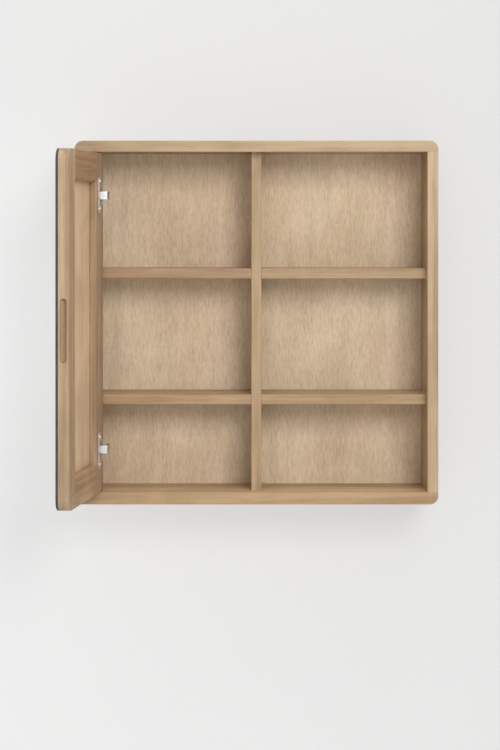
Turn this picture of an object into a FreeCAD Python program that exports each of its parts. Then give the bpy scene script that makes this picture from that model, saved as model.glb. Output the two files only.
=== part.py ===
"""A square oak wall cabinet with one mirrored door on concealed single-pin cup hinges.

Millimetres. X runs to the viewer's right, Y towards the wall, Z up. The wall is the plane Y = 0, and
the origin lies midway between the round openings of the two keyhole hangers. The door is drawn shut and
then swung open about its hinge pins.
"""
import FreeCAD, Part
import Sketcher
import os
import re

doc = FreeCAD.newDocument("wall_cabinet")
sheet = doc.addObject("Spreadsheet::Sheet", "Sizes")

SIZES = (
    # Case
    ("case_width", "600"), ("case_height", "600"), ("case_depth", "150"),
    ("side_thickness", "18"), ("top_thickness", "18"), ("bottom_thickness", "20"),
    ("corner_radius", "14"), ("edge_round", "1.5"),
    ("panel_thickness", "6"), ("groove_depth", "6"), ("groove_slack", "0.2"),
    ("divider_thickness", "17"), ("shelf_thickness", "17"), ("shelf_setback", "25.5"),
    ("upper_shelf_drop", "228"), ("lower_shelf_rise", "163"),
    ("dowel_radius", "4"), ("dowel_slack", "0.1"), ("dowel_in_edge", "20"), ("dowel_in_face", "10"),
    ("dowel_front", "20"), ("dowel_back", "25"),
    # Wall fixing
    ("rail_thickness", "14"), ("rail_height", "70"), ("batten_height", "40"),
    ("hanger_spacing", "400"), ("hanger_drop", "45"),
    ("hanger_width", "24"), ("hanger_below", "16"), ("hanger_above", "26"), ("hanger_sheet", "2"),
    ("keyhole_radius", "5"), ("keyslot_radius", "2.5"), ("keyslot_rise", "12"),
    ("head_room", "8"), ("head_side", "1"),
    ("hanger_screw_below", "11"), ("hanger_screw_above", "20"), ("hanger_screw_length", "11"),
    # Door
    ("hinge_gap", "3"), ("top_gap", "3.2"), ("bottom_gap", "1.3"), ("door_width", "280"),
    ("glass_thickness", "4"), ("frame_thickness", "16.5"),
    ("stile_width", "51"), ("rail_width", "48.5"), ("arris_round", "4"), ("rail_round", "8"),
    ("shadow_line", "1.5"),
    ("door_corner", "18"), ("hinge_corner", "4"),
    ("recess_depth", "13"), ("door_panel_thickness", "2.5"), ("rebate", "6"), ("panel_slack", "0.3"),
    ("finger_length", "99"), ("finger_radius", "5.25"), ("finger_depth", "8"), ("finger_drop", "1.5"),
    ("frame_dowel_radius", "3"), ("frame_dowel_length", "40"),
    ("frame_dowel_first", "10"), ("frame_dowel_pitch", "16"),
    ("tape_width", "25"), ("tape_inset", "20"), ("tape_end", "30"),
    # Hinges
    ("hinge_inset", "69"), ("open_angle", "97"),
    ("pin_inset", "10.5"), ("pin_depth", "7.2"), ("pin_radius", "1.2"), ("pin_slack", "0.05"),
    ("pin_length", "25.6"),
    ("cup_inset", "21.5"), ("cup_radius", "17.5"), ("cup_wall", "1"), ("cup_floor", "0.6"),
    ("cup_lift", "0.2"), ("bore_slack", "0.1"), ("flange_thickness", "1.5"), ("rim_width", "1.4"),
    ("wing_inset", "31.5"), ("wing_radius", "7.5"), ("wing_length", "62"), ("wing_screw_pitch", "45"),
    ("arm_thickness", "3.5"), ("arm_height", "13"), ("eye_radius", "2"), ("arm_bend", "4.5"),
    ("arm_reach", "23.5"), ("arm_crank", "33"), ("arm_end", "78"),
    ("plate_sheet", "2.5"), ("plate_front", "42"), ("plate_width", "26"), ("plate_length", "50"),
    ("plate_screw_pitch", "32"), ("arm_screw_back", "60"), ("arm_screw_short", "0.5"),
    ("screw_radius", "1.7"), ("screw_head_radius", "3.5"), ("screw_head", "1.4"),
    ("screw_length", "13"), ("screw_slack", "0.05"),
    ("drive_width", "0.8"), ("drive_length", "4"), ("drive_depth", "0.9"),
)
for row, (alias, value) in enumerate(SIZES, start=1):
    sheet.set("A%d" % row, alias)
    sheet.set("B%d" % row, value)
    sheet.setAlias("B%d" % row, alias)
doc.recompute()

reckoner = doc.addObject("Part::Vertex", "Reckoner")


def spell(text):
    """An expression of sheet names, written the way the document reads it."""
    return re.sub(r"\b([a-z_]+)\b", r"Sizes.\1", str(text))


def number(text):
    """The number that an expression of sheet names comes to, worked out by the document."""
    reckoner.setExpression("X", spell(text))
    reckoner.recompute()
    return reckoner.X.Value


def locate(item, at):
    """Bind an item's position to expressions."""
    for axis, text in zip("xyz", at):
        item.setExpression("Placement.Base." + axis, spell(text))


def box(sizes, at):
    item = doc.addObject("Part::Box", "Block")
    for side, text in zip(("Length", "Width", "Height"), sizes):
        item.setExpression(side, spell(text))
    locate(item, at)
    return item


TURNS = {
    "x": FreeCAD.Rotation(FreeCAD.Vector(0, 1, 0), 90),
    "y": FreeCAD.Rotation(FreeCAD.Vector(1, 0, 0), -90),
    "z": FreeCAD.Rotation(),
}


def rod(radius, length, at, along):
    item = doc.addObject("Part::Cylinder", "Rod")
    item.Placement = FreeCAD.Placement(FreeCAD.Vector(), TURNS[along])
    item.setExpression("Radius", spell(radius))
    item.setExpression("Height", spell(length))
    locate(item, at)
    return item


def cone(first_radius, last_radius, length, at, along):
    item = doc.addObject("Part::Cone", "Cone")
    item.Placement = FreeCAD.Placement(FreeCAD.Vector(), TURNS[along])
    item.setExpression("Radius1", spell(first_radius))
    item.setExpression("Radius2", spell(last_radius))
    item.setExpression("Height", spell(length))
    locate(item, at)
    return item


def group(items):
    item = doc.addObject("Part::Compound", "Group")
    item.Links = items
    return item


def fuse(items):
    item = doc.addObject("Part::MultiFuse", "Joined")
    item.Shapes = items
    return item


def common(first, second):
    item = doc.addObject("Part::Common", "Shared")
    item.Base = first
    item.Tool = second
    return item


def cut(base, tools):
    """Base less every tool; each cut has to take something away."""
    item = doc.addObject("Part::Cut", "Less")
    item.Base = base
    item.Tool = tools[0] if len(tools) == 1 else group(tools)
    doc.recompute()
    if not item.Shape.Volume < base.Shape.Volume - 1e-3:
        raise RuntimeError("a cut took nothing away from " + base.Label)
    return item


def ease(source, radius, wanted):
    """Round the edges that the test picks, by a radius from the sheet."""
    doc.recompute()
    amount = number(radius)
    picked = [place for place, edge in enumerate(source.Shape.Edges, start=1) if wanted(edge)]
    if not picked:
        raise RuntimeError("no edge to round")
    item = doc.addObject("Part::Fillet", "Eased")
    item.Base = source
    item.Edges = [(place, amount, amount) for place in picked]
    doc.recompute()
    return item


def runs_along(edge, axis):
    first = edge.Vertexes[0].Point
    last = edge.Vertexes[-1].Point
    way = last - first
    if way.Length < 1e-6:
        return False
    return abs(abs(way.normalize()[axis]) - 1) < 1e-6


def lies_at(edge, axis, value):
    return all(abs(vertex.Point[axis] - value) < 1e-4 for vertex in edge.Vertexes)


def profile(plane, offset, corners, length):
    """A PartDesign body: a polygon whose corners are bound to the sheet, padded along the plane's normal."""
    body = doc.addObject("PartDesign::Body", "Shaped")
    sketch = body.newObject("Sketcher::SketchObject", "Outline")
    datum = [item for item in body.Origin.OriginFeatures if item.Role == plane][0]
    sketch.AttachmentSupport = (datum, [""])
    sketch.MapMode = "FlatFace"
    sketch.setExpression("AttachmentOffset.Base.z", spell(offset))
    points = [FreeCAD.Vector(number(across), number(up), 0) for across, up in corners]
    count = len(points)
    for place in range(count):
        sketch.addGeometry(Part.LineSegment(points[place], points[(place + 1) % count]), False)
    for place in range(count):
        sketch.addConstraint(Sketcher.Constraint("Coincident", place, 2, (place + 1) % count, 1))
    for place, (across, up) in enumerate(corners):
        for kind, text, value in (("DistanceX", across, points[place].x), ("DistanceY", up, points[place].y)):
            mark = sketch.addConstraint(Sketcher.Constraint(kind, -1, 1, place, 1, value))
            sketch.setExpression("Constraints[%d]" % mark, spell(text))
    pad = body.newObject("PartDesign::Pad", "Pad")
    pad.Profile = sketch
    pad.setExpression("Length", spell(length))
    body.Tip = pad
    doc.recompute()
    return body


# Finished pieces, in the order they are made
nodes = []


def keep(item, name, on_door=False):
    item.Label = name
    nodes.append((item, name, on_door))
    return item


# Lines and planes that several pieces share
FRONT = "(-case_depth)"
TOP = "hanger_drop"
BOTTOM = "(hanger_drop - case_height)"
UNDER_TOP = "(hanger_drop - top_thickness)"
FLOOR = "(hanger_drop - case_height + bottom_thickness)"
INNER_HEIGHT = "(case_height - top_thickness - bottom_thickness)"
INNER_HALF = "(case_width / 2 - side_thickness)"
PANEL_BACK = "(-rail_thickness)"
PANEL_FRONT = "(-rail_thickness - panel_thickness)"
UPPER_SHELF = "(hanger_drop - upper_shelf_drop)"
LOWER_SHELF = "(hanger_drop - case_height + lower_shelf_rise)"
SHELF_FRONT = "(shelf_setback - case_depth)"
SHELF_DEPTH = "(case_depth - shelf_setback - rail_thickness - panel_thickness)"
SHELF_LENGTH = "(case_width / 2 - side_thickness - divider_thickness / 2)"

# Dowels of the case, with the holes that take them
dowels = []
dowel_holes = []


def peg(at, length, along):
    dowels.append(rod("dowel_radius", length, at, along))
    dowel_holes.append(rod("dowel_radius + dowel_slack", length, at, along))


for deep in (SHELF_FRONT + " + dowel_front", PANEL_FRONT + " - dowel_back"):
    stand = "dowel_in_edge + dowel_in_face"
    for across in ("case_width / 2 - side_thickness / 2", "0", "side_thickness / 2 - case_width / 2"):
        peg((across, deep, UNDER_TOP + " - dowel_in_edge"), stand, "z")
        peg((across, deep, FLOOR + " - dowel_in_face"), stand, "z")
    for level in (UPPER_SHELF, LOWER_SHELF):
        middle = "%s + shelf_thickness / 2" % level
        peg(("-%s - dowel_in_face" % INNER_HALF, deep, middle), stand, "x")
        peg((INNER_HALF + " - dowel_in_edge", deep, middle), stand, "x")
        through = "divider_thickness + 2 * dowel_in_edge"
        peg(("-divider_thickness / 2 - dowel_in_edge", deep, middle), through, "x")
all_dowel_holes = group(dowel_holes)
keep(group(dowels), "case_dowels")

# Outline of the case with its rounded corners, and the groove that takes the back panel
block = box(("case_width", "case_depth", "case_height"), ("-case_width / 2", FRONT, BOTTOM))
outline = ease(block, "corner_radius", lambda edge: runs_along(edge, 1))
groove = box(
    ("2 * %s + 2 * groove_depth + 2 * groove_slack" % INNER_HALF, "panel_thickness",
     "%s + 2 * groove_depth + 2 * groove_slack" % INNER_HEIGHT),
    ("-%s - groove_depth - groove_slack" % INNER_HALF, PANEL_FRONT, FLOOR + " - groove_depth - groove_slack"))
back_panel = box(
    ("2 * %s + 2 * groove_depth" % INNER_HALF, "panel_thickness", "%s + 2 * groove_depth" % INNER_HEIGHT),
    ("-%s - groove_depth" % INNER_HALF, PANEL_FRONT, FLOOR + " - groove_depth"))
keep(back_panel, "back_panel")


# Screws: a pan head on a plain shank, driven from the outside towards the start of the axis
def screw(surface, along, length):
    """A screw whose head sits on the surface point and whose shank runs back along the axis, and its hole."""
    start = list(surface)
    place = "xyz".index(along)
    start[place] = "%s - (%s)" % (surface[place], length)
    shank = rod("screw_radius", length, start, along)
    head = rod("screw_head_radius", "screw_head", surface, along)
    hole = rod("screw_radius + screw_slack", length, start, along)
    drive = []
    for first, second in (("drive_width", "drive_length"), ("drive_length", "drive_width")):
        sizes = [first, second]
        sizes.insert(place, "drive_depth")
        corner = ["%s - %s / 2" % (spot, reach) for spot, reach in zip(surface, sizes)]
        corner[place] = "%s + screw_head - drive_depth" % surface[place]
        drive.append(box(sizes, corner))
    return cut(fuse([shank, head]), drive), hole


# Hinge positions and the door's own lines, with the door shut
EDGE = "(side_thickness + hinge_gap - case_width / 2)"
GLASS_BACK = "(glass_thickness - case_depth)"
INNER_FACE = "(glass_thickness + frame_thickness - case_depth)"
PANEL_FACE = "(glass_thickness + frame_thickness - recess_depth - case_depth)"
DOOR_BOTTOM = "(hanger_drop - case_height + bottom_thickness + bottom_gap)"
DOOR_TOP = "(hanger_drop - top_thickness - top_gap)"
DOOR_HEIGHT = "(case_height - top_thickness - bottom_thickness - top_gap - bottom_gap)"
PIN_X = EDGE + " + pin_inset"
PIN_Y = FRONT + " + pin_depth"
PLATE_FACE = "(plate_sheet + side_thickness - case_width / 2)"
ARM_FACE = "(arm_thickness + plate_sheet + side_thickness - case_width / 2)"
HINGES = (
    ("upper", DOOR_TOP + " - hinge_inset"),
    ("lower", DOOR_BOTTOM + " + hinge_inset"),
)

plate_screws = []
arm_screws = []
cup_screws = []
plate_screw_holes = []
arm_screw_holes = []
cup_screw_holes = []
for name, level in HINGES:
    for side in (1, -1):
        middle = "%s + plate_front + plate_width / 2" % FRONT
        height = "%s + %d * plate_screw_pitch / 2" % (level, side)
        solid, hole = screw((PLATE_FACE, middle, height), "x", "screw_length")
        plate_screws.append(solid)
        plate_screw_holes.append(hole)
        height = "%s + %d * wing_screw_pitch / 2" % (level, side)
        surface = (EDGE + " + wing_inset", INNER_FACE + " + flange_thickness", height)
        solid, hole = screw(surface, "y", "screw_length")
        cup_screws.append(solid)
        cup_screw_holes.append(hole)
    surface = (ARM_FACE, FRONT + " + arm_screw_back", level)
    solid, hole = screw(surface, "x", "arm_thickness + plate_sheet - arm_screw_short")
    arm_screws.append(solid)
    arm_screw_holes.append(hole)
keep(group(plate_screws), "plate_screws")
keep(group(arm_screws), "arm_screws")
keep(group(cup_screws), "cup_screws", on_door=True)


# Boards of the case
def at_front(edge):
    return lies_at(edge, 1, number(FRONT))


for name, thick, start, outer in (
        ("top_board", "top_thickness", UNDER_TOP, TOP),
        ("bottom_board", "bottom_thickness", BOTTOM, BOTTOM)):
    plain = box(("case_width", "case_depth", thick), ("-case_width / 2", FRONT, start))
    board = cut(common(plain, outline), [groove, all_dowel_holes])
    face = number(UNDER_TOP if name == "top_board" else FLOOR)
    keep(ease(board, "edge_round", lambda edge: at_front(edge) and not lies_at(edge, 2, face)), name)

for name, start, holes in (
        ("left_side", "-case_width / 2", [groove, all_dowel_holes] + plate_screw_holes),
        ("right_side", INNER_HALF, [groove, all_dowel_holes])):
    plain = box(("side_thickness", "case_depth", INNER_HEIGHT), (start, FRONT, FLOOR))
    board = cut(plain, holes)
    keep(ease(board, "edge_round", lambda edge: at_front(edge) and runs_along(edge, 2)), name)

plain = box(("divider_thickness", SHELF_DEPTH, INNER_HEIGHT), ("-divider_thickness / 2", SHELF_FRONT, FLOOR))
board = cut(plain, [all_dowel_holes])
shelf_line = number(SHELF_FRONT)
keep(ease(board, "edge_round", lambda edge: lies_at(edge, 1, shelf_line) and runs_along(edge, 2)), "divider")

for level_name, level in (("upper", UPPER_SHELF), ("lower", LOWER_SHELF)):
    for side_name, start in (("left", "-" + INNER_HALF), ("right", "divider_thickness / 2")):
        plain = box((SHELF_LENGTH, SHELF_DEPTH, "shelf_thickness"),
                    (start, SHELF_FRONT, level))
        board = cut(plain, [all_dowel_holes])
        eased = ease(board, "edge_round", lambda edge: lies_at(edge, 1, shelf_line) and runs_along(edge, 0))
        keep(eased, "%s_%s_shelf" % (level_name, side_name))

# Hanging rail with its keyhole hangers, and the batten below it
hanger_plates = []
hanger_screws = []
rail_tools = []
for side in (1, -1):
    across = "%d * hanger_spacing / 2" % side
    sheet_metal = box(("hanger_width", "hanger_sheet", "hanger_below + hanger_above"),
                      ("%s - hanger_width / 2" % across, "-hanger_sheet", "-hanger_below"))
    openings = [
        rod("keyhole_radius", "hanger_sheet", (across, "-hanger_sheet", "0"), "y"),
        box(("2 * keyslot_radius", "hanger_sheet", "keyslot_rise"),
            ("%s - keyslot_radius" % across, "-hanger_sheet", "0")),
        rod("keyslot_radius", "hanger_sheet", (across, "-hanger_sheet", "keyslot_rise"), "y"),
    ]
    rail_tools.append(box(
        ("hanger_width + 2 * groove_slack", "hanger_sheet", "hanger_below + hanger_above + 2 * groove_slack"),
        ("%s - hanger_width / 2 - groove_slack" % across, "-hanger_sheet", "-hanger_below - groove_slack")))
    rail_tools.append(box(
        ("2 * keyhole_radius + 2 * head_side", "head_room", "keyslot_rise + 2 * keyhole_radius + head_side"),
        ("%s - keyhole_radius - head_side" % across, "-hanger_sheet - head_room",
         "-keyhole_radius - head_side")))
    for height in ("-hanger_screw_below", "hanger_screw_above"):
        head_at = (across, "-hanger_sheet", height)
        head = cone("screw_radius", "screw_head_radius", "hanger_sheet", head_at, "y")
        shank = rod("screw_radius", "hanger_screw_length - hanger_sheet",
                    (across, "-hanger_screw_length", height), "y")
        hanger_screws.append(fuse([head, shank]))
        openings.append(cone("screw_radius + screw_slack", "screw_head_radius + screw_slack",
                             "hanger_sheet", head_at, "y"))
        rail_tools.append(rod("screw_radius + screw_slack", "hanger_screw_length",
                              (across, "-hanger_screw_length", height), "y"))
    hanger_plates.append(cut(sheet_metal, openings))
keep(group(hanger_plates), "keyhole_hangers")
keep(group(hanger_screws), "hanger_screws")
plain = box(("2 * " + INNER_HALF, "rail_thickness", "rail_height"),
            ("-" + INNER_HALF, PANEL_BACK, UNDER_TOP + " - rail_height"))
keep(cut(plain, [fuse(rail_tools)]), "hanging_rail")
keep(box(("2 * " + INNER_HALF, "rail_thickness", "batten_height"), ("-" + INNER_HALF, PANEL_BACK, FLOOR)),
     "lower_batten")

# Outline of the door: large corners at the free side, small ones at the hinges
slab = box(("door_width", "glass_thickness + frame_thickness", DOOR_HEIGHT), (EDGE, FRONT, DOOR_BOTTOM))
hinge_line = number(EDGE)
rounded = ease(slab, "door_corner", lambda edge: runs_along(edge, 1) and not lies_at(edge, 0, hinge_line))
door_outline = ease(
    rounded, "hinge_corner", lambda edge: runs_along(edge, 1) and lies_at(edge, 0, hinge_line))
glass = box(("door_width", "glass_thickness", DOOR_HEIGHT), (EDGE, FRONT, DOOR_BOTTOM))
keep(common(glass, door_outline), "mirror", on_door=True)

# Dowels of the door frame
frame_dowels = []
frame_dowel_holes = []
for start in (EDGE + " + stile_width - frame_dowel_length / 2",
              EDGE + " + door_width - stile_width - frame_dowel_length / 2"):
    for edge_line, way in ((DOOR_TOP, -1), (DOOR_BOTTOM, 1)):
        for step in (0, 1):
            height = "%s + %d * (frame_dowel_first + %d * frame_dowel_pitch)" % (edge_line, way, step)
            at = (start, GLASS_BACK + " + frame_thickness / 2", height)
            frame_dowels.append(rod("frame_dowel_radius", "frame_dowel_length", at, "x"))
            frame_dowel_holes.append(rod("frame_dowel_radius + dowel_slack", "frame_dowel_length", at, "x"))
keep(group(frame_dowels), "door_dowels", on_door=True)
all_frame_holes = group(frame_dowel_holes)


# Stiles and rails: a rebate behind for the panel, and a rounded arris round the recess on the room side
def frame_bar(width):
    """Corners of a bar's cross-section, from its outer edge inwards, as pairs of (inwards, depth)."""
    return (
        ("0", GLASS_BACK), ("%s - rebate" % width, GLASS_BACK), ("%s - rebate" % width, PANEL_FACE),
        (width, PANEL_FACE), (width, INNER_FACE), ("0", INNER_FACE))


def arris(edge, across_axis, position):
    return lies_at(edge, across_axis, position) and lies_at(edge, 1, number(INNER_FACE))


RECESS_HEIGHT = "(%s - 2 * rail_width)" % DOOR_HEIGHT
RECESS_FLOOR = "%s + rail_width" % DOOR_BOTTOM
stiles = []
for base, sign in ((EDGE, "+"), (EDGE + " + door_width", "-")):
    outer = base if sign == "+" else base + " - stile_width"
    bar = box(("stile_width", "frame_thickness", DOOR_HEIGHT), (outer, GLASS_BACK, DOOR_BOTTOM))
    inner = base + (" + stile_width - rebate" if sign == "+" else " - stile_width")
    step = box(("rebate", "frame_thickness - recess_depth", RECESS_HEIGHT + " + 2 * rebate"),
               (inner, GLASS_BACK, RECESS_FLOOR + " - rebate"))
    centre = "%s %s (stile_width - arris_round)" % (base, sign)
    corner = centre if sign == "+" else centre + " - arris_round"
    arris_depth = INNER_FACE + " - arris_round"
    square = box(("arris_round", "arris_round", RECESS_HEIGHT), (corner, arris_depth, RECESS_FLOOR))
    round_bar = rod("arris_round", RECESS_HEIGHT, (centre, arris_depth, RECESS_FLOOR), "z")
    foot = base + (" + stile_width - shadow_line" if sign == "+" else " - stile_width")
    shadow = box(("shadow_line", "shadow_line", RECESS_HEIGHT), (foot, PANEL_FACE, RECESS_FLOOR))
    stiles.append(cut(bar, [step, shadow, cut(square, [round_bar])]))
hinge_stile = common(stiles[0], door_outline)
free_stile = common(stiles[1], door_outline)

for name, base, sign in (("top_rail", DOOR_TOP, "-"), ("bottom_rail", DOOR_BOTTOM, "+")):
    corners = [(deep, "%s %s (%s)" % (base, sign, inwards)) for inwards, deep in frame_bar("rail_width")]
    if sign == "+":
        corners.reverse()
    bar = profile("YZ_Plane", EDGE + " + stile_width", corners, "door_width - 2 * stile_width")
    line = number("%s %s rail_width" % (base, sign))
    eased = ease(bar, "rail_round", lambda edge: arris(edge, 2, line))
    keep(cut(eased, [all_frame_holes]), name, on_door=True)

# Finger groove in the free edge
END = EDGE + " + door_width"
GROOVE_Y = GLASS_BACK + " + frame_thickness / 2"
HALF = "(finger_length / 2 - finger_radius)"
MIDDLE = "(%s + %s / 2 - finger_drop)" % (DOOR_BOTTOM, DOOR_HEIGHT)
finger_tools = [box(("finger_depth", "2 * finger_radius", "2 * " + HALF),
                    (END + " - finger_depth", GROOVE_Y + " - finger_radius", "%s - %s" % (MIDDLE, HALF)))]
for sign in ("+", "-"):
    at = (END + " - finger_depth", GROOVE_Y, "%s %s %s" % (MIDDLE, sign, HALF))
    finger_tools.append(rod("finger_radius", "finger_depth", at, "x"))
keep(cut(free_stile, [fuse(finger_tools), all_frame_holes]), "free_stile", on_door=True)

# Thin panel in the rebate, and the tape between it and the glass
keep(box(
    ("door_width - 2 * stile_width + 2 * rebate - 2 * panel_slack", "door_panel_thickness",
     DOOR_HEIGHT + " - 2 * rail_width + 2 * rebate - 2 * panel_slack"),
    (EDGE + " + stile_width - rebate + panel_slack", PANEL_FACE + " - door_panel_thickness",
     DOOR_BOTTOM + " + rail_width - rebate + panel_slack")), "door_panel", on_door=True)
strips = []
for across in (EDGE + " + stile_width + tape_inset",
               EDGE + " + door_width - stile_width - tape_inset - tape_width"):
    strips.append(box(
        ("tape_width", "frame_thickness - recess_depth - door_panel_thickness",
         RECESS_HEIGHT + " - 2 * tape_end"),
        (across, GLASS_BACK, RECESS_FLOOR + " + tape_end")))
keep(group(strips), "mirror_tape", on_door=True)


# Hinges
def arm_outline():
    """The cranked arm in plan: straight legs joined by round bends, as one flat face."""
    half = number("arm_thickness / 2")
    bend = number("arm_bend")
    near = number(PIN_X)
    far = number(PIN_X + " + arm_reach")
    root = number(PLATE_FACE + " + arm_thickness / 2")
    front = number(PIN_Y)
    crank = number(FRONT + " + arm_crank")
    end = number(FRONT + " + arm_end")
    points = [FreeCAD.Vector(*pair, 0) for pair in
              ((near, front), (far, front), (far, crank), (root, crank), (root, end))]

    def side(offset):
        edges = []
        ways = [(points[place + 1] - points[place]).normalize() for place in range(len(points) - 1)]
        lefts = [FreeCAD.Vector(-way.y, way.x, 0) * offset for way in ways]
        start = points[0] + lefts[0]
        for place in range(1, len(points) - 1):
            before = ways[place - 1]
            after = ways[place]
            corner = points[place]
            centre = corner - before * bend + after * bend
            first = corner - before * bend + lefts[place - 1]
            last = corner + after * bend + lefts[place]
            middle = centre + (corner - centre).normalize() * (first - centre).Length
            edges.append(Part.makeLine(start, first))
            edges.append(Part.Arc(first, middle, last).toShape())
            start = last
        finish = points[-1] + lefts[-1]
        edges.append(Part.makeLine(start, finish))
        return edges, points[0] + lefts[0], finish

    left, left_start, left_end = side(half)
    right, right_start, right_end = side(-half)
    edges = left + [Part.makeLine(left_end, right_end)] + right + [Part.makeLine(right_start, left_start)]
    return Part.Face(Part.Wire(Part.__sortEdges__(edges)))


stile_tools = []
for name, level in HINGES:
    strip = doc.addObject("Part::Feature", "Strip")
    low = number("%s - arm_height / 2" % level)
    strip.Shape = arm_outline().extrude(FreeCAD.Vector(0, 0, number("arm_height")))
    strip.Placement = FreeCAD.Placement(FreeCAD.Vector(0, 0, low), FreeCAD.Rotation())
    eye = rod("eye_radius", "arm_height", (PIN_X, PIN_Y, "%s - arm_height / 2" % level), "z")
    pin_at = (PIN_X, PIN_Y, "%s - pin_length / 2" % level)
    pin_hole = rod("pin_radius + pin_slack", "pin_length", pin_at, "z")
    keep(cut(fuse([strip, eye]), [pin_hole] + arm_screw_holes), name + "_hinge_arm")
    keep(rod("pin_radius", "pin_length", pin_at, "z"), name + "_hinge_pin", on_door=True)

    plate = box(("plate_sheet", "plate_width", "plate_length"),
                ("-" + INNER_HALF, FRONT + " + plate_front", "%s - plate_length / 2" % level))
    keep(cut(plate, plate_screw_holes + arm_screw_holes), name + "_mounting_plate")

    centre = EDGE + " + cup_inset"
    cup_start = GLASS_BACK + " + cup_lift"
    mouth = INNER_FACE + " + flange_thickness"
    shell = rod("cup_radius", "frame_thickness - cup_lift", (centre, cup_start, level), "y")
    rim = rod("cup_radius + rim_width", "flange_thickness", (centre, INNER_FACE, level), "y")
    wing_x = EDGE + " + wing_inset"
    wing_half = "(wing_length / 2 - wing_radius)"
    wing = [box(("2 * wing_radius", "flange_thickness", "2 * " + wing_half),
                (wing_x + " - wing_radius", INNER_FACE, "%s - %s" % (level, wing_half)))]
    for sign in ("+", "-"):
        at = (wing_x, INNER_FACE, "%s %s %s" % (level, sign, wing_half))
        wing.append(rod("wing_radius", "flange_thickness", at, "y"))
    hollow = rod("cup_radius - cup_wall", "frame_thickness - cup_lift - cup_floor + flange_thickness",
                 (centre, cup_start + " + cup_floor", level), "y")
    cup = cut(fuse([shell, rim] + wing), [hollow, pin_hole] + cup_screw_holes)
    keep(cup, name + "_hinge_cup", on_door=True)
    stile_tools.append(rod("cup_radius + bore_slack", "frame_thickness", (centre, GLASS_BACK, level), "y"))
keep(cut(hinge_stile, stile_tools + cup_screw_holes + [all_frame_holes]), "hinge_stile", on_door=True)

# The door stands open, turned about its pins
doc.recompute()
pin_line = FreeCAD.Vector(number(PIN_X), number(PIN_Y), 0)
swing = FreeCAD.Rotation(FreeCAD.Vector(0, 0, 1), -number("open_angle"))
opened = FreeCAD.Placement(FreeCAD.Vector(0, 0, 0), swing, pin_line)
for item, name, on_door in nodes:
    if on_door:
        item.Placement = opened.multiply(item.Placement)

for item in doc.Objects:
    if "Invalid" in item.State or "Error" in item.State:
        raise RuntimeError(item.Label + " did not build")
for item, name, on_door in nodes:
    if item.Shape.isNull() or not item.Shape.isValid():
        raise RuntimeError(name + " has no sound shape")

os.makedirs("parts", exist_ok=True)
for item, name, on_door in nodes:
    item.Shape.exportStep("parts/%s.step" % name)
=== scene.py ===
"""Oak wall cabinet with an open mirrored door: materials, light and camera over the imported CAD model.

Metres, in the part's own frame: X to the viewer's right, Y into the wall, Z up. Colours are linear light.
"""
import math
import bpy
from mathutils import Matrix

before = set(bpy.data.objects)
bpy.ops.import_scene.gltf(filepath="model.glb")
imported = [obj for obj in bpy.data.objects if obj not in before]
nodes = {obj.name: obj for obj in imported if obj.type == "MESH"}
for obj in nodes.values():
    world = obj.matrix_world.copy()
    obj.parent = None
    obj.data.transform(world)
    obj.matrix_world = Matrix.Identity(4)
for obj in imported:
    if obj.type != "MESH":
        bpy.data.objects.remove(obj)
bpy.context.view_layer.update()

BLACK = (0, 0, 0, 1)
WHITE = (1, 1, 1, 1)
PORE = (0.25, 0.16, 0.09, 1)

# Oak: growth bands run from dark to pale, and a board's tint multiplies both
OAK_PALE = (0.56, 0.41, 0.255)
OAK_DARK = (0.40, 0.27, 0.155)
HINGE_STILE_PALE = (0.485, 0.34, 0.212)
HINGE_STILE_DARK = (0.285, 0.181, 0.106)
DOOR_PANEL_PALE = (0.835, 0.624, 0.410)
DOOR_PANEL_DARK = (0.762, 0.559, 0.356)
OAK_FIBRE = (0.80, 0.77, 0.72, 1)
OAK_FIBRE_SHARE = 0.75
OAK_CLOUD = (0.92, 0.91, 0.90, 1)
OAK_ROUGH = 0.48
FIBRE_DULLER = 0.10
FIBRE_SHINIER = 0.04
GRAIN_SQUEEZE = 0.045

# Back panel: cloudy veneer from dark to pale, with darker marks that multiply it
PANEL_PALE = (0.775, 0.632, 0.465, 1)
PANEL_DARK = (0.675, 0.538, 0.383, 1)
VENEER_FLECK = (0.79, 0.755, 0.705, 1)
VENEER_STREAK = (0.92, 0.905, 0.885, 1)
VENEER_RIPPLE = (0.95, 0.95, 0.94, 1)
VENEER_COOL = (1.0, 1.02, 1.02, 1)
VENEER_WARM = (1.0, 0.98, 0.97, 1)
VENEER_LINE = (0.95, 0.94, 0.925, 1)
FLECK_SQUEEZE = (1, 1, 0.14)
RIPPLE_SQUEEZE = (0.22, 1, 1)

# Mirror: the door stands 97 degrees open, which turns its rails and its glass
DOOR_OPEN = math.radians(97)
MIRROR_FACING = (-math.sin(DOOR_OPEN), -math.cos(DOOR_OPEN), 0)
SILVER = (0.86, 0.88, 0.87, 1)
RIM_DARK = (0.040, 0.045, 0.041, 1)
RIM_PALE = (0.072, 0.080, 0.074, 1)


def grey(level):
    """A colour or a roughness with the same level in every channel."""
    return (level, level, level, 1)


def tinted(colour, tint):
    """A colour times a tint, channel by channel."""
    return tuple(part * share for part, share in zip(colour, tint)) + (1,)


def shaded(colour, share):
    """A colour taken down to a share of itself."""
    return tuple(share * part for part in colour[:3]) + (1,)


def material(name):
    """A new material with its node tree and its main shader."""
    made = bpy.data.materials.new(name)
    made.use_nodes = True
    tree = made.node_tree
    shader = tree.nodes["Principled BSDF"]
    return made, tree, shader


def link(tree, source, target):
    """Joins an output socket to an input socket."""
    tree.links.new(source, target)


def coordinates(tree, kind="Object"):
    """The piece's own coordinates or normal, in the part's frame."""
    return tree.nodes.new("ShaderNodeTexCoord").outputs[kind]


def axis_of(tree, vector, axis):
    """One axis of a vector."""
    made = tree.nodes.new("ShaderNodeSeparateXYZ")
    link(tree, vector, made.inputs["Vector"])
    return made.outputs[axis]


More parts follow.
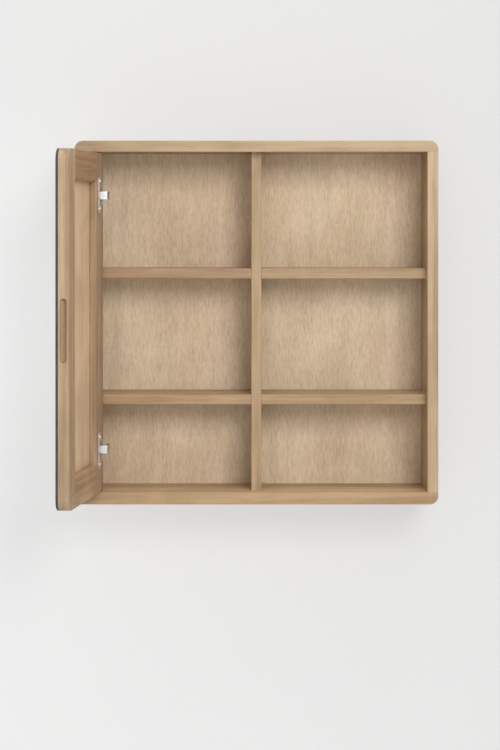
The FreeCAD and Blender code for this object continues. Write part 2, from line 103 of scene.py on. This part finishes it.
def calculated(tree, operation, first, second=None):
    """One or two values put through an operation, such as a product or a sine."""
    made = tree.nodes.new("ShaderNodeMath")
    made.operation = operation
    link(tree, first, made.inputs[0])
    if isinstance(second, (int, float)):
        made.inputs[1].default_value = second
    elif second is not None:
        link(tree, second, made.inputs[1])
    return made.outputs["Value"]


def summed(tree, first, second):
    """Two strengths added, up to one."""
    made = tree.nodes.new("ShaderNodeMath")
    made.use_clamp = True
    link(tree, first, made.inputs[0])
    link(tree, second, made.inputs[1])
    return made.outputs["Value"]


def falloff(tree, distance, reach, strength, curve="LINEAR"):
    """A strength that goes from its first value to its second as the distance crosses the reach."""
    made = tree.nodes.new("ShaderNodeMapRange")
    made.interpolation_type = curve
    made.inputs["From Min"].default_value = reach[0]
    made.inputs["From Max"].default_value = reach[1]
    made.inputs["To Min"].default_value = strength[0]
    made.inputs["To Max"].default_value = strength[1]
    link(tree, distance, made.inputs["Value"])
    return made.outputs["Result"]


def squeezed(tree, vector, scale):
    """Coordinates scaled axis by axis: a pattern draws out along an axis whose scale is under one."""
    made = tree.nodes.new("ShaderNodeMapping")
    made.inputs["Scale"].default_value = scale
    link(tree, vector, made.inputs["Vector"])
    return made.outputs["Vector"]


def grain_space(tree, along, turn):
    """Object coordinates, turned with the piece and squeezed along its grain, so that noise makes fibres."""
    turned = tree.nodes.new("ShaderNodeMapping")
    turned.inputs["Rotation"].default_value = (0, 0, turn)
    link(tree, coordinates(tree), turned.inputs["Vector"])
    scale = [1.0, 1.0, 1.0]
    scale["xyz".index(along)] = GRAIN_SQUEEZE
    return squeezed(tree, turned.outputs["Vector"], scale)


def noise(tree, vector, scale, detail, rough=0.55, distortion=0.0):
    """Smooth noise, from nought to one, with so many patches to the metre."""
    made = tree.nodes.new("ShaderNodeTexNoise")
    made.inputs["Scale"].default_value = scale
    made.inputs["Detail"].default_value = detail
    made.inputs["Roughness"].default_value = rough
    made.inputs["Distortion"].default_value = distortion
    link(tree, vector, made.inputs["Vector"])
    return made.outputs["Fac"]


def ramp(tree, source, low, high):
    """A run of colour between two stops, each a position and its colour."""
    made = tree.nodes.new("ShaderNodeValToRGB")
    ends = made.color_ramp.elements
    ends[0].position, ends[0].color = low
    ends[1].position, ends[1].color = high
    link(tree, source, made.inputs["Fac"])
    return made.outputs["Color"]


def blend(tree, amount, first, second, mode="MIX"):
    """Two colours mixed or multiplied by an amount, which is a number or a mask."""
    made = tree.nodes.new("ShaderNodeMix")
    made.data_type = "RGBA"
    made.blend_type = mode
    if isinstance(amount, float):
        made.inputs[0].default_value = amount
    else:
        link(tree, amount, made.inputs[0])
    link(tree, first, made.inputs[6])
    if isinstance(second, tuple):
        made.inputs[7].default_value = second
    else:
        link(tree, second, made.inputs[7])
    return made.outputs[2]


def relief(tree, shader, height, strength, distance):
    """A fine bump on the shader's normal."""
    made = tree.nodes.new("ShaderNodeBump")
    made.inputs["Strength"].default_value = strength
    made.inputs["Distance"].default_value = distance
    link(tree, height, made.inputs["Height"])
    link(tree, made.outputs["Normal"], shader.inputs["Normal"])


def painted_light_faces(tree):
    """One where a level board's upper or lower face shows, nought on its edges: the mask for painted light on
    those faces.
    """
    upright = axis_of(tree, coordinates(tree, "Normal"), "Z")
    return ramp(tree, calculated(tree, "ABSOLUTE", upright), (0.70, BLACK), (0.90, WHITE))


def oak(name, along, tint=(1, 1, 1), pale=OAK_PALE, dark=OAK_DARK, turn=0.0, rough=OAK_ROUGH, face=None):
    """Sawn oak: growth bands, fine fibres and short dark pores drawn out along the grain, under a soft cloud.

    A face is a tint that lightens a level board's upper and lower sides over its edges: painted light,
    standing in for the light those sides catch.
    """
    made, tree, shader = material(name)
    space = grain_space(tree, along, turn)
    patches = noise(tree, coordinates(tree), scale=8, detail=2, rough=0.5, distortion=0.6)
    bands = noise(tree, space, scale=26, detail=2.5, rough=0.5, distortion=1.8)
    fibres = noise(tree, space, scale=210, detail=5, rough=0.65)
    pores = noise(tree, space, scale=520, detail=2, rough=0.5)
    broad = ramp(tree, bands, (0.34, tinted(dark, tint)), (0.66, tinted(pale, tint)))
    fine = ramp(tree, fibres, (0.30, OAK_FIBRE), (0.62, grey(1.03)))
    cloud = ramp(tree, patches, (0.36, OAK_CLOUD), (0.64, grey(1.07)))
    mask = ramp(tree, pores, (0.60, BLACK), (0.72, grey(0.40)))
    colour = blend(tree, OAK_FIBRE_SHARE, broad, fine, "MULTIPLY")
    colour = blend(tree, 1.0, colour, cloud, "MULTIPLY")
    colour = blend(tree, mask, colour, PORE)
    # Painted light: a level board's upper and lower faces are lightened by the face tint
    if face:
        colour = blend(tree, painted_light_faces(tree), colour, face + (1,), "MULTIPLY")
    link(tree, colour, shader.inputs["Base Color"])
    sheen = ramp(tree, fibres, (0.3, grey(rough + FIBRE_DULLER)), (0.7, grey(rough - FIBRE_SHINIER)))
    link(tree, sheen, shader.inputs["Roughness"])
    relief(tree, shader, fibres, strength=0.12, distance=0.0004)
    shader.inputs["Specular IOR Level"].default_value = 0.35
    return made


def rings(tree, vector, scale, count):
    """Nested growth lines: the sine of a smooth noise, which draws its contours, taken to nought to one."""
    height = noise(tree, vector, scale, detail=1.5, rough=0.5, distortion=0.6)
    wave = calculated(tree, "SINE", calculated(tree, "MULTIPLY", height, count))
    return falloff(tree, wave, (-1, 1), (0, 1))


def veneer(name, pale, dark):
    """Rotary-cut veneer: cloudy patches, short upright flecks, faint cross ripples and soft growth lines."""
    made, tree, shader = material(name)
    where = coordinates(tree)
    upright = squeezed(tree, where, FLECK_SQUEEZE)
    level = squeezed(tree, where, RIPPLE_SQUEEZE)
    patches = noise(tree, where, scale=9, detail=3, rough=0.5, distortion=0.4)
    warmth = noise(tree, where, scale=6, detail=2, rough=0.5, distortion=0.3)
    flecks = noise(tree, upright, scale=620, detail=3, rough=0.55)
    streaks = noise(tree, upright, scale=60, detail=3, rough=0.5)
    ripples = noise(tree, level, scale=420, detail=2, rough=0.5)
    pores = noise(tree, upright, scale=150, detail=2, rough=0.5)
    lines = rings(tree, upright, scale=5.5, count=34)
    colour = ramp(tree, patches, (0.30, dark), (0.68, pale))
    marks = [
        (0.80, ramp(tree, flecks, (0.32, VENEER_FLECK), (0.58, grey(1.03)))),
        (0.80, ramp(tree, streaks, (0.30, VENEER_STREAK), (0.65, grey(1.02)))),
        (0.40, ramp(tree, ripples, (0.35, VENEER_RIPPLE), (0.65, grey(1.01)))),
        (1.0, ramp(tree, warmth, (0.38, VENEER_COOL), (0.62, VENEER_WARM))),
        (1.0, ramp(tree, lines, (0.0, VENEER_LINE), (0.35, WHITE))),
    ]
    for share, mark in marks:
        colour = blend(tree, share, colour, mark, "MULTIPLY")
    mask = ramp(tree, pores, (0.70, BLACK), (0.80, grey(0.18)))
    link(tree, blend(tree, mask, colour, PORE), shader.inputs["Base Color"])
    sheen = ramp(tree, flecks, (0.3, grey(0.62)), (0.7, grey(0.52)))
    link(tree, sheen, shader.inputs["Roughness"])
    relief(tree, shader, flecks, strength=0.08, distance=0.0003)
    shader.inputs["Specular IOR Level"].default_value = 0.3
    return made


def metal(name, colour, rough_low, rough_high, scale):
    """Plated metal: a clear reflection, broken by a fine cloud of tone and roughness."""
    made, tree, shader = material(name)
    cloud = noise(tree, coordinates(tree), scale, detail=4)
    rough = ramp(tree, cloud, (0.3, grey(rough_low)), (0.7, grey(rough_high)))
    link(tree, rough, shader.inputs["Roughness"])
    tone = ramp(tree, cloud, (0.3, shaded(colour, 0.88)), (0.7, colour))
    link(tree, tone, shader.inputs["Base Color"])
    shader.inputs["Metallic"].default_value = 1.0
    return made


def foam(name, colour):
    """Matt foam with small darker cells."""
    made, tree, shader = material(name)
    cells = noise(tree, coordinates(tree), scale=900, detail=3)
    tone = ramp(tree, cells, (0.35, shaded(colour, 0.8)), (0.65, colour))
    link(tree, tone, shader.inputs["Base Color"])
    shader.inputs["Roughness"].default_value = 0.9
    return made


def mirror_glass(name):
    """Silvered glass: a bright face, and a dark grey edge where the ground rim shows."""
    made, tree, shader = material(name)
    facing = tree.nodes.new("ShaderNodeVectorMath")
    facing.operation = "DOT_PRODUCT"
    facing.inputs[1].default_value = MIRROR_FACING
    link(tree, coordinates(tree, "Normal"), facing.inputs[0])
    flat = ramp(tree, facing.outputs["Value"], (0.90, BLACK), (0.95, WHITE))
    cloud = noise(tree, coordinates(tree), scale=60, detail=3)
    rim = ramp(tree, cloud, (0.3, RIM_DARK), (0.7, RIM_PALE))
    link(tree, blend(tree, flat, rim, SILVER), shader.inputs["Base Color"])
    link(tree, flat, shader.inputs["Metallic"])
    rough = ramp(tree, flat, (0.0, grey(0.30)), (1.0, grey(0.02)))
    link(tree, rough, shader.inputs["Roughness"])
    return made


# Each board has a tint of its own, so its tone differs a little from the next
TOP_OAK = oak("oak_top", "x", (0.90, 0.90, 0.90))
# The face tints below are painted light on the level boards' upper and lower faces
BOTTOM_OAK = oak("oak_bottom", "x", (0.868, 0.80, 0.72), face=(1.36, 1.47, 1.62))
UPPER_LEFT_OAK = oak("oak_upper_left", "x", (0.785, 0.715, 0.69), face=(1.36, 1.45, 1.50))
UPPER_RIGHT_OAK = oak("oak_upper_right", "x", (0.89, 0.855, 0.83), face=(1.25, 1.30, 1.33))
LOWER_LEFT_OAK = oak("oak_lower_left", "x", (0.945, 0.90, 0.85), face=(1.02, 1.06, 1.14))
LOWER_RIGHT_OAK = oak("oak_lower_right", "x", (1.02, 1.00, 0.96), face=(0.96, 1.01, 1.07))
SIDE_OAK = oak("oak_side", "z", (1.03, 1.04, 1.05))
DIVIDER_OAK = oak("oak_divider", "z", (0.92, 0.91, 0.91))
FREE_STILE_OAK = oak("oak_free_stile", "z", (1.055, 1.05, 1.095))
HINGE_STILE_OAK = oak("oak_hinge_stile", "z", pale=HINGE_STILE_PALE, dark=HINGE_STILE_DARK)
TOP_RAIL_OAK = oak("oak_top_rail", "x", (0.86, 0.75, 0.70), turn=DOOR_OPEN)
BOTTOM_RAIL_OAK = oak("oak_bottom_rail", "x", (1.00, 0.91, 0.88), turn=DOOR_OPEN)
RAW_WOOD = oak("raw_wood", "x", (1.15, 1.22, 1.30), rough=0.62)
BACK_VENEER = veneer("veneer_back", PANEL_PALE, PANEL_DARK)
DOOR_VENEER = oak("veneer_door", "z", pale=DOOR_PANEL_PALE, dark=DOOR_PANEL_DARK)
NICKEL = metal("satin_nickel", (0.74, 0.735, 0.715, 1), rough_low=0.38, rough_high=0.48, scale=140)
ZINC = metal("zinc_plate", (0.68, 0.69, 0.70, 1), rough_low=0.28, rough_high=0.42, scale=260)
FOAM = foam("foam_tape", (0.72, 0.72, 0.69, 1))
MIRROR = mirror_glass("silvered_glass")

FINISH = {
    "top_board": TOP_OAK, "bottom_board": BOTTOM_OAK,
    "upper_left_shelf": UPPER_LEFT_OAK, "upper_right_shelf": UPPER_RIGHT_OAK,
    "lower_left_shelf": LOWER_LEFT_OAK, "lower_right_shelf": LOWER_RIGHT_OAK,
    "left_side": SIDE_OAK, "right_side": SIDE_OAK, "divider": DIVIDER_OAK,
    "back_panel": BACK_VENEER, "hanging_rail": RAW_WOOD, "lower_batten": RAW_WOOD,
    "case_dowels": RAW_WOOD, "door_dowels": RAW_WOOD,
    "hinge_stile": HINGE_STILE_OAK, "free_stile": FREE_STILE_OAK,
    "top_rail": TOP_RAIL_OAK, "bottom_rail": BOTTOM_RAIL_OAK,
    "door_panel": DOOR_VENEER, "mirror": MIRROR, "mirror_tape": FOAM,
    "upper_hinge_cup": NICKEL, "lower_hinge_cup": NICKEL,
    "upper_hinge_arm": NICKEL, "lower_hinge_arm": NICKEL,
    "upper_mounting_plate": NICKEL, "lower_mounting_plate": NICKEL,
    "upper_hinge_pin": ZINC, "lower_hinge_pin": ZINC, "keyhole_hangers": ZINC,
    "hanger_screws": ZINC, "plate_screws": ZINC, "arm_screws": ZINC, "cup_screws": ZINC,
}
for node_name, finish in FINISH.items():
    slots = nodes[node_name].data.materials
    slots.clear()
    slots.append(finish)


# Room: a wall just behind the case and a floor below it
ROOM_SIDE = 4
WALL_FACE = 0.001
WALL_HEAD = 3
FLOOR_LEVEL = -1.6
FLOOR_FRONT = -6
WALL_PAINT = grey(0.30)
FLOOR_PAINT = (0.85, 0.85, 0.84, 1)
FLOOR_GLOW = 0.16

# The wall's glow, with painted light and shade on it, and their reaches in the part's frame
WALL_GLOW = 0.511
PAINTED_SHADE_RIGHT = 0.08
LEFT_TO_RIGHT = (-0.5, 0.5)
PAINTED_LIGHT_FOOT = 0.068
FOOT_TO_HEAD = (-0.97, 0.28)
PAINTED_POOL_GAIN = 0.10
PAINTED_POOL_MIDDLE = (-0.36, 0, -0.25)
PAINTED_POOL_REACH = 0.48


def backdrop(name, corners, colour, rough):
    """A flat sheet through four corners, with a faint cloud of tone, and clear from behind."""
    mesh = bpy.data.meshes.new(name)
    mesh.from_pydata(corners, [], [(0, 1, 2, 3)])
    sheet = bpy.data.objects.new(name, mesh)
    bpy.context.scene.collection.objects.link(sheet)
    made, tree, shader = material(name + "_paint")
    cloud = noise(tree, coordinates(tree), scale=1.5, detail=2)
    tone = ramp(tree, cloud, (0.3, shaded(colour, 0.97)), (0.7, colour))
    link(tree, tone, shader.inputs["Base Color"])
    shader.inputs["Roughness"].default_value = rough
    shader.inputs["Emission Color"].default_value = WHITE
    side = tree.nodes.new("ShaderNodeNewGeometry")
    clear = tree.nodes.new("ShaderNodeBsdfTransparent")
    choice = tree.nodes.new("ShaderNodeMixShader")
    link(tree, side.outputs["Backfacing"], choice.inputs[0])
    link(tree, shader.outputs["BSDF"], choice.inputs[1])
    link(tree, clear.outputs["BSDF"], choice.inputs[2])
    link(tree, choice.outputs["Shader"], tree.nodes["Material Output"].inputs["Surface"])
    mesh.materials.append(made)
    return tree, shader


def seen_only(tree, strength):
    """A strength that the camera, gloss and glass see, but that lights nothing else."""
    path = tree.nodes.new("ShaderNodeLightPath").outputs
    seen = summed(tree, path["Is Camera Ray"], path["Is Glossy Ray"])
    seen = summed(tree, seen, path["Is Transmission Ray"])
    return calculated(tree, "MULTIPLY", strength, seen)


def painted_wall_light(tree, shader):
    """The wall's glow, with painted light and shade: less to the right and more towards the foot, with a
    painted pool of light beside the door.
    """
    where = coordinates(tree)
    across = falloff(tree, axis_of(tree, where, "X"), LEFT_TO_RIGHT, (WALL_GLOW, WALL_GLOW - PAINTED_SHADE_RIGHT))
    upwards = falloff(tree, axis_of(tree, where, "Z"), FOOT_TO_HEAD, (PAINTED_LIGHT_FOOT, 0))
    away = tree.nodes.new("ShaderNodeVectorMath")
    away.operation = "DISTANCE"
    away.inputs[1].default_value = PAINTED_POOL_MIDDLE
    link(tree, where, away.inputs[0])
    pool = falloff(tree, away.outputs["Value"], (0, PAINTED_POOL_REACH), (PAINTED_POOL_GAIN, 0), "SMOOTHSTEP")
    total = summed(tree, summed(tree, across, upwards), pool)
    link(tree, seen_only(tree, total), shader.inputs["Emission Strength"])


WALL_CORNERS = [
    (-ROOM_SIDE, WALL_FACE, FLOOR_LEVEL), (ROOM_SIDE, WALL_FACE, FLOOR_LEVEL),
    (ROOM_SIDE, WALL_FACE, WALL_HEAD), (-ROOM_SIDE, WALL_FACE, WALL_HEAD),
]
FLOOR_CORNERS = [
    (-ROOM_SIDE, FLOOR_FRONT, FLOOR_LEVEL), (ROOM_SIDE, FLOOR_FRONT, FLOOR_LEVEL),
    (ROOM_SIDE, WALL_FACE, FLOOR_LEVEL), (-ROOM_SIDE, WALL_FACE, FLOOR_LEVEL),
]
wall_tree, wall_shader = backdrop("wall", WALL_CORNERS, WALL_PAINT, rough=0.9)
# The wall's glow carries painted shade to the right, and painted light towards the foot and beside the door
painted_wall_light(wall_tree, wall_shader)
floor_shader = backdrop("floor", FLOOR_CORNERS, FLOOR_PAINT, rough=0.8)[1]
floor_shader.inputs["Emission Strength"].default_value = FLOOR_GLOW


def lamp(name, place, target, width, height, power, colour):
    """A rectangular soft lamp at a place, aimed at a target."""
    light = bpy.data.lights.new(name, "AREA")
    light.shape = "RECTANGLE"
    light.size = width
    light.size_y = height
    light.energy = power
    light.color = colour
    holder = bpy.data.objects.new(name, light)
    holder.location = place
    aim = holder.location.copy()
    for axis in range(3):
        aim[axis] = target[axis] - place[axis]
    holder.rotation_mode = "QUATERNION"
    holder.rotation_quaternion = aim.to_track_quat("-Z", "Y")
    bpy.context.scene.collection.objects.link(holder)


KEY_PLACE = (1.05, -3.6, 1.12)
KEY_COLOUR = (1, 0.985, 0.965)
FILL_PLACE = (0.1, -3.9, 0.2)
FILL_COLOUR = (1, 0.98, 0.96)
OVERHEAD_PLACE = (0.1, -0.8, 1.6)
OVERHEAD_COLOUR = (1, 0.98, 0.95)
CASE_MIDDLE = (0, -0.1, -0.25)
BELOW_MIDDLE = (0, -0.1, -0.3)
lamp("key", KEY_PLACE, CASE_MIDDLE, width=1.35, height=1.35, power=62, colour=KEY_COLOUR)
lamp("fill", FILL_PLACE, CASE_MIDDLE, width=2.5, height=2.5, power=26, colour=FILL_COLOUR)
lamp("overhead", OVERHEAD_PLACE, BELOW_MIDDLE, width=1.6, height=0.5, power=11, colour=OVERHEAD_COLOUR)

ROOM_TINT = (0.92, 0.94, 0.96, 1)
ROOM_LIGHT = 0.39
world = bpy.data.worlds.new("soft_room")
world.use_nodes = True
room = world.node_tree.nodes["Background"]
room.inputs["Color"].default_value = ROOM_TINT
room.inputs["Strength"].default_value = ROOM_LIGHT
bpy.context.scene.world = world
bpy.context.scene.view_settings.view_transform = "Standard"

# The photograph's camera: level, square to the wall, its frame shifted down
CAMERA_PLACE = (-0.013, -3.75, -0.099)
FOCAL_LENGTH = 104.8
SENSOR_WIDTH = 36
SHIFT_RIGHT = 0.002
SHIFT_UP = -0.196
lens = bpy.data.cameras.new("camera")
lens.sensor_width = SENSOR_WIDTH
lens.lens = FOCAL_LENGTH
lens.shift_x = SHIFT_RIGHT
lens.shift_y = SHIFT_UP
camera = bpy.data.objects.new("camera", lens)
camera.location = CAMERA_PLACE
camera.rotation_euler = (math.pi / 2, 0, 0)
bpy.context.scene.collection.objects.link(camera)
bpy.context.scene.camera = camera
